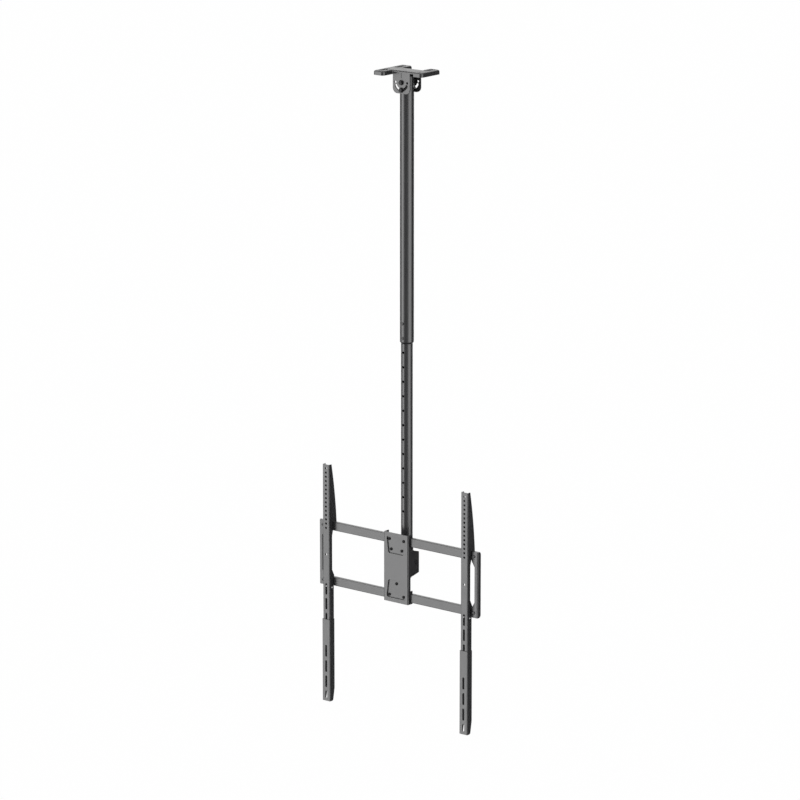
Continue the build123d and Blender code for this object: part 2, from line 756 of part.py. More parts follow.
# End brackets: folded C-shaped sheets that tie the rails' ends together
end_top_z = upper_rail_z + rail_half + end_margin
end_foot_z = lower_rail_z - rail_half - end_margin
end_front_y = rail_front_y - end_sheet
for name, side in sides.items():
    with BuildPart() as end_bracket:
        with BuildSketch(Plane.XZ.offset(-rail_front_y)):
            bar_x = side * (end_outer_x - end_bar)
            leg_x = side * end_leg_x
            with BuildLine():
                Polyline(
                    (side * end_outer_x, end_top_z),
                    (leg_x, end_top_z),
                    (leg_x, end_top_z - end_leg_height),
                    (bar_x, end_top_z - end_leg_height - end_slant),
                    (bar_x, end_foot_z + end_leg_height + end_slant),
                    (leg_x, end_foot_z + end_leg_height),
                    (leg_x, end_foot_z),
                    (side * end_outer_x, end_foot_z),
                    close=True,
                )
            make_face()
        extrude(amount=end_sheet)
        with BuildSketch(Plane.YZ.offset(side * end_inner_x)) as flange:
            with Locations((end_front_y, end_foot_z)):
                flange_height = end_top_z - end_foot_z
                Rectangle(end_flange, flange_height, align=(Align.MIN, Align.MIN))
            fillet(flange.vertices().group_by(Axis.X)[-1], end_corner)
        extrude(amount=side * end_sheet)
        fold_edges = end_bracket.edges().filter_by(Axis.Z).filter_by(
            lambda e: abs(e.center().X) > end_outer_x - 0.1
        )
        fillet(fold_edges.group_by(Axis.Y)[0], end_bend)
        with BuildSketch(Plane.XZ.offset(-rail_front_y)):
            with Locations((side * end_screw_x, upper_rail_z), (side * end_screw_x, lower_rail_z)):
                Circle(screw_hole_r)
        extrude(amount=end_sheet, mode=Mode.SUBTRACT)
    save(end_bracket.part, f"end_bracket_{name}")
with BuildPart() as end_bracket_screws:
    for side in sides.values():
        for z in (upper_rail_z, lower_rail_z):
            head_seat = looking(front, (side * end_screw_x, end_front_y, z))
            add(button_screw(head_seat, end_sheet + rail_wall + screw_end))
save(end_bracket_screws.part, "end_bracket_screws")

# Arms: folded channels that hook over the upper rail and sit astride the lower one
arm_top_z = upper_rail_z + arm_rise
arm_foot_z = lower_rail_z - arm_drop
hook_in_y = rail_back_y + hook_gap
hook_back_y = hook_in_y + hook_thickness
seat_z = upper_rail_z + rail_half + hook_gap
rail_face_y = rail_front_y - hook_gap
upper_clear_z = upper_rail_z - rail_half - hook_gap
saddle_top_z = lower_rail_z + rail_half + hook_gap
saddle_foot_z = lower_rail_z - rail_half - hook_gap
waist_y = arm_front_y + waist_depth
waist_top_z = upper_clear_z - waist_slope
waist_foot_z = waist_top_z - waist_length
hook_tip_z = seat_z - hook_drop
tip_r = hook_thickness / 2
arm_holes = [arm_top_z - arm_hole_margin - step * arm_hole_pitch for step in range(arm_hole_count)]
arm_middle_z = (upper_rail_z + lower_rail_z) / 2
arm_slots = [lower_rail_z - arm_slot_drop - step * arm_slot_pitch for step in range(arm_slot_count)]
for name, side in sides.items():
    arm_x = side * arm_spacing / 2
    with BuildPart() as arm:
        with BuildSketch(Plane.YZ.offset(arm_x - arm_width / 2)):
            with BuildLine():
                Polyline(
                    (hook_back_y, hook_tip_z),
                    (hook_back_y, seat_z),
                )
                ThreePointArc(
                    (hook_back_y, seat_z),
                    (arm_front_y + arm_mid_depth, arm_top_z - arm_mid_drop),
                    (arm_front_y + arm_top_depth, arm_top_z),
                )
                Polyline(
                    (arm_front_y + arm_top_depth, arm_top_z),
                    (arm_front_y, arm_top_z),
                    (arm_front_y, arm_foot_z),
                    (arm_front_y + foot_depth, arm_foot_z),
                    (arm_front_y + foot_depth, saddle_foot_z),
                    (rail_face_y, saddle_foot_z),
                    (rail_face_y, saddle_top_z),
                    (rail_face_y + saddle_lip, saddle_top_z),
                    (rail_face_y + saddle_lip, saddle_top_z + saddle_lip),
                    (waist_y, waist_foot_z),
                    (waist_y, waist_top_z),
                    (rail_face_y, upper_clear_z),
                    (rail_face_y, seat_z),
                    (hook_in_y, seat_z),
                    (hook_in_y, hook_tip_z),
                )
                ThreePointArc(
                    (hook_in_y, hook_tip_z),
                    (hook_in_y + tip_r, hook_tip_z - tip_r),
                    (hook_back_y, hook_tip_z),
                )
            make_face()
        extrude(amount=arm_width)
        fillet(arm.edges().filter_by(Axis.Z).group_by(Axis.Y)[0], arm_bend)
        with BuildSketch(Plane.XY.offset(arm_foot_z)):
            with Locations((arm_x, arm_front_y + arm_sheet)):
                channel = arm_width - 2 * arm_sheet
                Rectangle(channel, hook_back_y - arm_front_y, align=(Align.CENTER, Align.MIN))
        extrude(amount=arm_top_z - arm_foot_z, mode=Mode.SUBTRACT)
        with BuildSketch(Plane.XZ.offset(-arm_front_y)):
            with Locations(*[(arm_x, z) for z in arm_holes + [arm_middle_z]]):
                Circle(arm_hole_d / 2)
            with Locations(*[(arm_x, z) for z in arm_slots]):
                SlotOverall(arm_slot_length, arm_hole_d, rotation=90)
        extrude(amount=-arm_sheet, mode=Mode.SUBTRACT)
        with BuildSketch(Plane.YZ.offset(arm_x)):
            hole_y = arm_front_y + foot_depth - flange_hole_inset
            with Locations((hole_y, lower_rail_z - flange_hole_drop)):
                Circle(flange_hole_d / 2)
        extrude(amount=arm_width / 2, both=True, mode=Mode.SUBTRACT)
    save(arm.part, f"arm_{name}")

# Extensions: channels that sleeve over the arms' feet and carry more slots
extension_half = arm_width / 2 + free_gap + extension_sheet
extension_front_y = arm_front_y - free_gap - extension_sheet
extension_back_y = extension_front_y + extension_depth
extension_top_z = lower_rail_z - extension_top_drop
extension_foot_z = extension_top_z - extension_length
first_slot_z = extension_top_z - extension_slot_plain - extension_slot_length / 2
extension_slots = [first_slot_z - step * extension_slot_pitch for step in range(extension_slot_count)]
slot_gap = extension_slot_pitch - extension_slot_length
last_slot_z = extension_slots[-1] - extension_slot_length / 2 - slot_gap - extension_last_slot / 2
for name, side in sides.items():
    arm_x = side * arm_spacing / 2
    with BuildPart() as extension:
        with BuildSketch(Plane.YZ.offset(arm_x - extension_half)) as flank:
            with BuildLine():
                Polyline(
                    (extension_front_y, extension_top_z),
                    (extension_back_y, extension_top_z),
                    (extension_back_y, extension_foot_z + extension_taper_length),
                    (extension_back_y - extension_taper, extension_foot_z),
                    (extension_front_y, extension_foot_z),
                    close=True,
                )
            make_face()
            foot_corner = flank.vertices().group_by(Axis.Y)[0].sort_by(Axis.X)[-1]
            fillet(foot_corner, extension_corner)
        extrude(amount=2 * extension_half)
        fillet(extension.edges().filter_by(Axis.Z).group_by(Axis.Y)[0], extension_bend)
        with BuildSketch(Plane.XY.offset(extension_foot_z)):
            with Locations((arm_x, extension_front_y + extension_sheet)):
                channel = 2 * (extension_half - extension_sheet)
                Rectangle(channel, extension_depth, align=(Align.CENTER, Align.MIN))
        extrude(amount=extension_length, mode=Mode.SUBTRACT)
        with BuildSketch(Plane.XZ.offset(-extension_front_y)):
            with Locations(*[(arm_x, z) for z in extension_slots]):
                SlotOverall(extension_slot_length, arm_hole_d, rotation=90)
            with Locations((arm_x, last_slot_z)):
                SlotOverall(extension_last_slot, arm_hole_d, rotation=90)
        extrude(amount=-extension_sheet, mode=Mode.SUBTRACT)
    save(extension.part, f"extension_{name}")
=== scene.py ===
"""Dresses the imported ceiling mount: a finish for each piece, the tube's rolled foot, welds, threads,
studio light and camera."""
import math

import bpy
import numpy as np
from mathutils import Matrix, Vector


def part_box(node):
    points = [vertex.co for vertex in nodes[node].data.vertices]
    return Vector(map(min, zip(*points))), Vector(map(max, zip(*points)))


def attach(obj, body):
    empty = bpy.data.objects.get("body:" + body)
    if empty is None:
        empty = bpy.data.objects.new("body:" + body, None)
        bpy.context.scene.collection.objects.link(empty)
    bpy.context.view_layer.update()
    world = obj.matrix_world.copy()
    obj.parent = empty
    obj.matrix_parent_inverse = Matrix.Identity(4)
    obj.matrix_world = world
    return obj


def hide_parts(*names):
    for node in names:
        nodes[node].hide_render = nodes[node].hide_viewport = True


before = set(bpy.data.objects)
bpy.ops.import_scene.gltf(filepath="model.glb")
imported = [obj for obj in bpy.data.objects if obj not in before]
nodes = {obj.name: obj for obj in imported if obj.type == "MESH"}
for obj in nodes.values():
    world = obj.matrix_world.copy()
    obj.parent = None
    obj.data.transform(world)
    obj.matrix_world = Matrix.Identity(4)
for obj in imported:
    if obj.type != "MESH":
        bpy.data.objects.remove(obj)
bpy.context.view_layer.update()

# Ceiling plate. One pressed steel sheet with a turned-down rim, three slotted legs and two ears.
# It is folded first and powder coated in satin black afterwards, so the coat is thinner on the folds. Its
# edges are painted lighter, partly as rub wear and partly as painted sheen.


def value_socket(tree, name, default, low=0.0, high=1.0):
    """A number input on a node group, with its default and range."""
    socket = tree.interface.new_socket(name=name, in_out="INPUT", socket_type="NodeSocketFloat")
    socket.default_value = default
    socket.min_value = low
    socket.max_value = high


def colour_socket(tree, name, default):
    """A colour input on a node group."""
    socket = tree.interface.new_socket(name=name, in_out="INPUT", socket_type="NodeSocketColor")
    socket.default_value = default


def output_sockets(tree, **kinds):
    """The outputs of a node group, each with its kind."""
    for name, kind in kinds.items():
        tree.interface.new_socket(name=name, in_out="OUTPUT", socket_type="NodeSocket" + kind)


def feed(tree, socket, value):
    """Gives a socket a number or a colour, or links another socket to it."""
    if isinstance(value, (int, float, tuple)):
        socket.default_value = value
    else:
        tree.links.new(value, socket)


def arithmetic(tree, operation, first, second=0.0):
    """A math node on one or two values, each a socket or a number."""
    node = tree.nodes.new("ShaderNodeMath")
    node.operation = operation
    feed(tree, node.inputs[0], first)
    feed(tree, node.inputs[1], second)
    return node.outputs["Value"]


def ranged(tree, value, from_low, from_high, to_low, to_high, smooth=False):
    """A value moved from one range to another, held at its ends, each end a socket or a number."""
    node = tree.nodes.new("ShaderNodeMapRange")
    if smooth:
        node.interpolation_type = "SMOOTHSTEP"
    feed(tree, node.inputs["Value"], value)
    ends = {"From Min": from_low, "From Max": from_high, "To Min": to_low, "To Max": to_high}
    for name, end in ends.items():
        feed(tree, node.inputs[name], end)
    return node.outputs["Result"]


def mixed_colour(tree, factor, first, second, blend="MIX"):
    """Two colours mixed by a factor, each a socket or four numbers."""
    node = tree.nodes.new("ShaderNodeMix")
    node.data_type = "RGBA"
    node.blend_type = blend
    factor_slot, first_slot, second_slot, colour_out = 0, 6, 7, 2
    feed(tree, node.inputs[factor_slot], factor)
    feed(tree, node.inputs[first_slot], first)
    feed(tree, node.inputs[second_slot], second)
    return node.outputs[colour_out]


def noise(tree, where, scale, detail, rough=0.5):
    """Noise at a scale per metre, which is a socket or a number."""
    node = tree.nodes.new("ShaderNodeTexNoise")
    node.inputs["Detail"].default_value = detail
    node.inputs["Roughness"].default_value = rough
    feed(tree, node.inputs["Vector"], where)
    feed(tree, node.inputs["Scale"], scale)
    return node.outputs["Fac"]


def rounded_edges(tree, radius):
    """The normal with edges rounded to a radius, a socket or a number, and a mask that is one on them."""
    node = tree.nodes.new("ShaderNodeBevel")
    node.samples = 4
    feed(tree, node.inputs["Radius"], radius)
    turned = tree.nodes.new("ShaderNodeVectorMath")
    turned.operation = "DOT_PRODUCT"
    feed(tree, turned.inputs[0], node.outputs["Normal"])
    feed(tree, turned.inputs[1], tree.nodes.new("ShaderNodeNewGeometry").outputs["Normal"])
    flat, on_edge = 0.99, 0.85
    return node.outputs["Normal"], ranged(tree, turned.outputs["Value"], flat, on_edge, 0.0, 1.0)


def raised(tree, height, depth, strength, normal):
    """A normal with the ups and downs of a height, full strength being a depth in metres."""
    node = tree.nodes.new("ShaderNodeBump")
    node.inputs["Distance"].default_value = depth
    feed(tree, node.inputs["Strength"], strength)
    feed(tree, node.inputs["Height"], height)
    feed(tree, node.inputs["Normal"], normal)
    return node.outputs["Normal"]


def coat_skin():
    """Powder coat: orange peel, cloudy gloss, rounded edges painted lighter (partly rub wear, partly painted
    sheen), dust on upward faces.
    """
    # The rub and sheen grey is partly rub wear and partly painted sheen on the edges.
    rub_and_sheen_grey, dust_grey = (0.09, 0.09, 0.092, 1.0), (0.3, 0.29, 0.27, 1.0)
    grit_size, peel_height, dust_dulls, rub_shines = 420.0, 0.0002, 1.2, 0.1
    tree = bpy.data.node_groups.new("coat_skin", "ShaderNodeTree")
    colour_socket(tree, "Coat", (0.014, 0.014, 0.015, 1.0))
    value_socket(tree, "Peel Size", 1300.0, 1.0, 9000.0)
    value_socket(tree, "Peel Depth", 0.08)
    value_socket(tree, "Cloud Size", 22.0, 0.1, 900.0)
    value_socket(tree, "Rough Low", 0.27)
    value_socket(tree, "Rough High", 0.33)
    value_socket(tree, "Edge Radius", 0.0006, 0.0, 0.01)
    value_socket(tree, "Edge Rub", 0.3)
    value_socket(tree, "Dust", 0.1)
    value_socket(tree, "Scuff", 0.0)
    output_sockets(tree, Tone="Color", Roughness="Float", Normal="Vector")
    took, gives = tree.nodes.new("NodeGroupInput").outputs, tree.nodes.new("NodeGroupOutput").inputs
    place = tree.nodes.new("ShaderNodeTexCoord").outputs["Object"]
    peel = noise(tree, place, took["Peel Size"], 2.0)
    cloud = noise(tree, place, took["Cloud Size"], 5.0, 0.6)
    grit = noise(tree, place, grit_size, 3.0, 0.7)
    rounded, edge = rounded_edges(tree, took["Edge Radius"])
    patchy_rub_and_sheen = arithmetic(tree, "MULTIPLY", edge, ranged(tree, grit, 0.35, 0.65, 0.0, 1.0))
    worn = arithmetic(tree, "MAXIMUM", arithmetic(tree, "MULTIPLY", patchy_rub_and_sheen, took["Edge Rub"]), took["Scuff"])
    up = tree.nodes.new("ShaderNodeSeparateXYZ")
    feed(tree, up.inputs["Vector"], tree.nodes.new("ShaderNodeNewGeometry").outputs["True Normal"])
    settled = arithmetic(tree, "MULTIPLY", ranged(tree, up.outputs["Z"], 0.6, 1.0, 0.0, 1.0), cloud)
    dust = arithmetic(tree, "MULTIPLY", settled, took["Dust"])
    shade = ranged(tree, cloud, 0.25, 0.75, 0.93, 1.07)
    tinted = mixed_colour(tree, 1.0, took["Coat"], shade, "MULTIPLY")
    # Edges and slide scuffs are painted a lighter grey: the scuffs and part of the edges as rub wear, the
    # rest of the edges as painted sheen of the thin coat.
    rubbed = mixed_colour(tree, worn, tinted, rub_and_sheen_grey)
    feed(tree, gives["Tone"], mixed_colour(tree, dust, rubbed, dust_grey))
    gloss = ranged(tree, cloud, 0.3, 0.7, took["Rough Low"], took["Rough High"])
    dulled = arithmetic(tree, "ADD", gloss, arithmetic(tree, "MULTIPLY", dust, dust_dulls))
    polish = arithmetic(tree, "MULTIPLY", worn, rub_shines)
    feed(tree, gives["Roughness"], arithmetic(tree, "SUBTRACT", dulled, polish))
    feed(tree, gives["Normal"], raised(tree, peel, peel_height, took["Peel Depth"], rounded))
    return tree


def finish(name, group, shine=0.75, **values):
    """A material whose colour, roughness and normal come from a group, with values for its inputs."""
    made = bpy.data.materials.new(name)
    made.use_nodes = True
    tree = made.node_tree
    shader = tree.nodes["Principled BSDF"]
    shader.inputs["Specular IOR Level"].default_value = shine
    skin = tree.nodes.new("ShaderNodeGroup")
    skin.name = "skin"
    skin.node_tree = group
    for label, value in values.items():
        skin.inputs[label.replace("_", " ").title()].default_value = value
    for output, socket in (("Tone", "Base Color"), ("Roughness", "Roughness"), ("Normal", "Normal")):
        tree.links.new(skin.outputs[output], shader.inputs[socket])
    return made


def dress(material, *names):
    """Puts a material in every slot of the named nodes."""
    for name in names:
        piece = nodes[name]
        if not piece.material_slots:
            piece.data.materials.append(material)
        for one in piece.material_slots:
            one.material = material


coat = coat_skin()
black = (0.0175, 0.0175, 0.0185, 1.0)
dress(finish("ceiling_plate_coat", coat, coat=black, dust=0.16, edge_rub=0.35), "ceiling_plate")

# Pivot bolt with its nut and washers. Cold-headed steel, blackened and oiled. It goes through both
# ears and holds the column up, and its head, nut and washers show the rings of the tool that faced them.


def oxide_skin():
    """Blackened steel: rings about an axis along Y, mottled oil, bright rubbed corners."""
    rubbed_steel = (0.11, 0.105, 0.1, 1.0)
    ring_waves, ring_height, oil_size, corner = 16000.0, 0.00005, 260.0, 0.0004
    tree = bpy.data.node_groups.new("oxide_skin", "ShaderNodeTree")
    colour_socket(tree, "Oxide", (0.008, 0.008, 0.009, 1.0))
    value_socket(tree, "Centre X", 0.0, -9.0, 9.0)
    value_socket(tree, "Centre Z", 0.0, -9.0, 9.0)
    value_socket(tree, "Ring Depth", 0.1)
    value_socket(tree, "Rough Low", 0.4)
    value_socket(tree, "Rough High", 0.58)
    value_socket(tree, "Edge Rub", 0.5)
    output_sockets(tree, Tone="Color", Roughness="Float", Normal="Vector")
    took, gives = tree.nodes.new("NodeGroupInput").outputs, tree.nodes.new("NodeGroupOutput").inputs
    place = tree.nodes.new("ShaderNodeTexCoord").outputs["Object"]
    split = tree.nodes.new("ShaderNodeSeparateXYZ")
    feed(tree, split.inputs["Vector"], place)
    from_x = arithmetic(tree, "SUBTRACT", split.outputs["X"], took["Centre X"])
    from_z = arithmetic(tree, "SUBTRACT", split.outputs["Z"], took["Centre Z"])
    square_x, square_z = arithmetic(tree, "POWER", from_x, 2.0), arithmetic(tree, "POWER", from_z, 2.0)
    radius = arithmetic(tree, "SQRT", arithmetic(tree, "ADD", square_x, square_z))
    rings = arithmetic(tree, "SINE", arithmetic(tree, "MULTIPLY", radius, ring_waves))
    oil = noise(tree, place, oil_size, 4.0, 0.65)
    rounded, edge = rounded_edges(tree, corner)
    rub = arithmetic(tree, "MULTIPLY", edge, took["Edge Rub"])
    shade = ranged(tree, oil, 0.3, 0.7, 0.75, 1.25)
    tinted = mixed_colour(tree, 1.0, took["Oxide"], shade, "MULTIPLY")
    feed(tree, gives["Tone"], mixed_colour(tree, rub, tinted, rubbed_steel))
    feed(tree, gives["Roughness"], ranged(tree, oil, 0.3, 0.7, took["Rough Low"], took["Rough High"]))
    feed(tree, gives["Normal"], raised(tree, rings, ring_height, took["Ring Depth"], rounded))
    return tree


def solid_piece(name, points, faces, body, slot, material):
    """A closed mesh from point and face arrays, turned so that its volume counts as positive."""
    crease = math.radians(50)
    first, second, third, fourth = (points[faces[:, corner]] for corner in range(4))
    halves = np.cross(second, third) + np.cross(third, fourth)
    if (first * halves).sum() < 0:
        faces = faces[:, ::-1]
    mesh = bpy.data.meshes.new(name)
    mesh.from_pydata(points.tolist(), [], faces.tolist())
    mesh.polygons.foreach_set("use_smooth", np.ones(len(faces), dtype=bool))
    mesh.set_sharp_from_angle(angle=crease)
    mesh.materials.append(material)
    made = bpy.data.objects.new(name, mesh)
    bpy.context.scene.collection.objects.link(made)
    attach(made, body)
    return made


def band_quads(rows, columns, closed_rows):
    """Quads between neighbouring rows of a grid whose columns run round and join up."""
    count = rows if closed_rows else rows - 1
    row, column = np.meshgrid(np.arange(count), np.arange(columns), indexing="ij")
    after = (row + 1) % rows * columns
    beside = (column + 1) % columns
    corners = (row * columns + column, row * columns + beside, after + beside, after + column)
    return np.stack(corners, axis=-1).reshape(-1, 4)


def thread_ridges(starts, ends, core, crest, pitch):
    """Screw threads: a blunt ridge carried along a helix, one for each start and end on a bolt's axis.
    At turn t the profile stands at angle 2 pi t and height pitch times t, its crest rising from the
    core's radius to the crest's radius over the first and last half turn."""
    places, plain_turns, first_turn, sunk_share = 97, 0.9, 0.45, 0.15
    profile = np.array([-0.42, -0.07, 0.07, 0.42])
    starts, ends = np.array(starts), np.array(ends)
    axis = ends - starts
    length = np.linalg.norm(axis, axis=1)[:, None]
    axis = axis / length
    side = np.cross(axis, (0.0, 0.0, 1.0))
    other = np.cross(axis, side)
    turns = length / pitch - plain_turns
    turn = turns * np.linspace(0.0, 1.0, places)
    grown = np.clip(np.minimum(turn, turns - turn) * 2.0, 0.0, 1.0)
    sunk = core - sunk_share * (crest - core)
    foot, top = 0 * turn + sunk, sunk + (crest - sunk) * grown
    radius = np.stack([foot, top, top, foot], axis=-1)
    height = pitch * (turn[..., None] + first_turn + profile)
    angle = 2 * np.pi * turn[..., None, None]
    outward = side[:, None, None] * np.cos(angle) + other[:, None, None] * np.sin(angle)
    rise = axis[:, None, None] * height[..., None]
    points = starts[:, None, None] + rise + outward * radius[..., None]
    first_cap = np.arange(4)
    last_cap = 4 * places - 1 - first_cap
    one = np.concatenate([band_quads(places, 4, False), [first_cap, last_cap]])
    every = one[None] + np.arange(len(starts))[:, None, None] * 4 * places
    return points.reshape(-1, 3), every.reshape(-1, 4)


oxide = oxide_skin()
m8 = dict(core=0.0033, crest=0.004, pitch=0.00125)
pivot_low, pivot_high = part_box("pivot_bolt")
pivot_z = (pivot_low[2] + pivot_high[2]) / 2
pivot_oxide = finish("pivot_oxide", oxide, shine=0.3, centre_z=pivot_z)
dress(pivot_oxide, "pivot_bolt", "pivot_nut", "pivot_washers")
nut_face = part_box("pivot_nut")[1][1]
pivot_thread = thread_ridges([(0.0, nut_face, pivot_z)], [(0.0, pivot_high[1], pivot_z)], **m8)
solid_piece("pivot_thread", *pivot_thread, "ceiling_bracket", "black_steel", pivot_oxide)

# Outer tube. Drawn steel tube, its foot rolled in to the inner tube by a short steep taper, coated
# inside and out. The taper turns downwards, so it shows as a dark line where the two tubes meet.


def turned_ring(profile, steps):
    """Turned piece: a closed profile of radius and height carried once round the Z axis. At an angle of
    turn the point lies at radius times cosine, radius times sine, and its height."""
    turn = np.linspace(0.0, 2 * np.pi, steps, endpoint=False)[:, None]
    radius, height = profile[:, 0], profile[:, 1]
    points = np.stack([radius * np.cos(turn), radius * np.sin(turn), height + 0 * turn], axis=-1)
    return points.reshape(-1, 3), band_quads(steps, len(profile), True)


tube_low, tube_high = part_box("outer_tube")
tube_r, top_z, foot_z = tube_high[0], tube_high[2], tube_low[2]
bore_r, burr = 0.02125, 0.0006
roll_r, roll_height, roll_power = 0.0201, 0.0066, 1.15
lip_z, bore_z, bore_support_z = foot_z + 0.0025, foot_z + 0.0085, foot_z + 0.0095
roll = np.linspace(0.0, 1.0, 17)
rolled_r = tube_r - (tube_r - roll_r) * roll**roll_power
rolled = np.stack([rolled_r, foot_z + roll_height * (1.0 - roll)], axis=-1)
tube_top = [(bore_r, top_z - burr), (bore_r + burr, top_z), (tube_r - burr, top_z), (tube_r, top_z - burr)]
tube_wall = [(tube_r, top_z - 2 * burr), (tube_r, foot_z + roll_height + burr)]
tube_inside = [(roll_r, lip_z), (bore_r, bore_z), (bore_r, bore_support_z), (bore_r, top_z - 2 * burr)]
tube_coat = finish(
    "outer_tube_coat", coat, coat=black, cloud_size=9.0, rough_low=0.26, rough_high=0.31, dust=0.05,
)
tube = turned_ring(np.concatenate([tube_top, tube_wall, rolled, tube_inside]), 160)
rolled_tube = solid_piece("rolled_tube", *tube, "outer_column", "black_powder_coat", tube_coat)
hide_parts("outer_tube")

# Pivot and lock sleeves. Short steel tubes across the outer tube, so that the bolts don't crush it.
# A bead of weld runs round each end, where the sleeve comes out of the tube, under the black coat.


def weld_bead(path, outward, upward, thick, ripples):
    """Weld: a round bead carried along a closed path. At an angle round the bead the point lies off the
    path by its radius times cosine outward and sine upward. The radius is the bead's own, swollen and
    shrunk by a sine along the path, so that it looks laid drop by drop."""
    swell, facets = 0.09, 10
    count = len(path)
    along = np.linspace(0.0, 2 * np.pi, count, endpoint=False)
    round_it = np.linspace(0.0, 2 * np.pi, facets, endpoint=False)[:, None]
    radius = thick * (1.0 + swell * np.sin(ripples * along))[:, None, None]
    around = outward[:, None] * np.cos(round_it) + upward[:, None] * np.sin(round_it)
    return (path[:, None] + radius * around).reshape(-1, 3), band_quads(count, facets, True)


sleeve_bead, sleeve_ripples = 0.0012, 30
turn = np.linspace(0.0, 2 * np.pi, 180, endpoint=False)
weld_points, weld_faces = [], []
for sleeve in ("pivot_sleeve", "lock_sleeve"):
    low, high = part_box(sleeve)
    sleeve_r, middle_z = (high[0] - low[0]) / 2, (low[2] + high[2]) / 2
    for side in (-1.0, 1.0):
        across = sleeve_r * np.cos(turn)
        deep = side * np.sqrt(tube_r**2 - across**2)
        path = np.stack([across, deep, middle_z + sleeve_r * np.sin(turn)], axis=-1)
        outward = np.stack([np.cos(turn), 0 * turn, np.sin(turn)], axis=-1)
        upward = np.stack([across, deep, 0 * turn], axis=-1) / tube_r
        points, faces = weld_bead(path, outward, upward, sleeve_bead, sleeve_ripples)
        weld_faces.append(faces + len(points) * len(weld_points))
        weld_points.append(points)
weld_coat = finish(
    "weld_coat", coat,
    coat=black, peel_size=700.0, peel_depth=0.25, rough_low=0.3, rough_high=0.4, edge_rub=0.0,
)
dress(tube_coat, "pivot_sleeve", "lock_sleeve")
solid_piece(
    "sleeve_welds", np.concatenate(weld_points), np.concatenate(weld_faces),
    "outer_column", "black_powder_coat", weld_coat,
)

# Lock bolt with its nut and washers. The same blackened steel as the pivot bolt. It runs in the ears'
# arc slots and clamps the column at its angle.
lock_low, lock_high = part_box("lock_bolt")
lock_z = (lock_low[2] + lock_high[2]) / 2
lock_oxide = finish("lock_oxide", oxide, shine=0.3, centre_z=lock_z)
dress(lock_oxide, "lock_bolt", "lock_nut", "lock_washers")
nut_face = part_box("lock_nut")[1][1]
lock_thread = thread_ridges([(0.0, nut_face, lock_z)], [(0.0, lock_high[1], lock_z)], **m8)
solid_piece("lock_thread", *lock_thread, "outer_column", "black_steel", lock_oxide)

# Column lock screws. Two button screws with hexagon sockets in the front of the outer tube, coated like
# it. They lock the inner tube at one of its height holes.
lock_screw_coat = finish(
    "lock_screw_coat", coat, coat=black, peel_size=1900.0, rough_low=0.3, rough_high=0.36,
)
dress(lock_screw_coat, "column_lock_screws")

# Inner tube. Drawn steel tube with a row of height holes down its front, coated like the outer tube.
# Its coat carries fine upright rub marks from sliding in the outer tube's rolled foot.


def slide_scuffs():
    """Rub marks of sliding: noise drawn out along one axis, kept where a slower noise is high."""
    patch_size = 7.0
    tree = bpy.data.node_groups.new("slide_scuffs", "ShaderNodeTree")
    stretch = tree.interface.new_socket(name="Stretch", in_out="INPUT", socket_type="NodeSocketVector")
    stretch.default_value = (900.0, 900.0, 8.0)
    value_socket(tree, "Amount", 0.3)
    output_sockets(tree, Scuff="Float")
    took, gives = tree.nodes.new("NodeGroupInput").outputs, tree.nodes.new("NodeGroupOutput").inputs
    place = tree.nodes.new("ShaderNodeTexCoord").outputs["Object"]
    drawn_out = tree.nodes.new("ShaderNodeMapping")
    feed(tree, drawn_out.inputs["Vector"], place)
    feed(tree, drawn_out.inputs["Scale"], took["Stretch"])
    fine = noise(tree, drawn_out.outputs["Vector"], 1.0, 3.0, 0.6)
    streaks = ranged(tree, fine, 0.58, 0.72, 0.0, 1.0)
    patches = ranged(tree, noise(tree, place, patch_size, 2.0), 0.42, 0.66, 0.0, 1.0, smooth=True)
    marks = arithmetic(tree, "MULTIPLY", streaks, patches)
    feed(tree, gives["Scuff"], arithmetic(tree, "MULTIPLY", marks, took["Amount"]))
    return tree


def rub_along(material, stretch, amount):
    """Adds rub marks to a coat, drawn out along the axis whose number in stretch is small."""
    tree = material.node_tree
    marks = tree.nodes.new("ShaderNodeGroup")
    marks.node_tree = scuffs
    marks.inputs["Stretch"].default_value = stretch
    marks.inputs["Amount"].default_value = amount
    tree.links.new(marks.outputs["Scuff"], tree.nodes["skin"].inputs["Scuff"])


scuffs = slide_scuffs()
inner_coat = finish(
    "inner_tube_coat", coat, coat=black, cloud_size=11.0, rough_low=0.26, rough_high=0.31, dust=0.05,
)
rub_along(inner_coat, (900.0, 900.0, 7.0), 0.22)
dress(inner_coat, "inner_tube")

# Glide ring. Moulded natural nylon, pressed on the inner tube's top end, where it runs in the outer
# tube and is hidden by it.


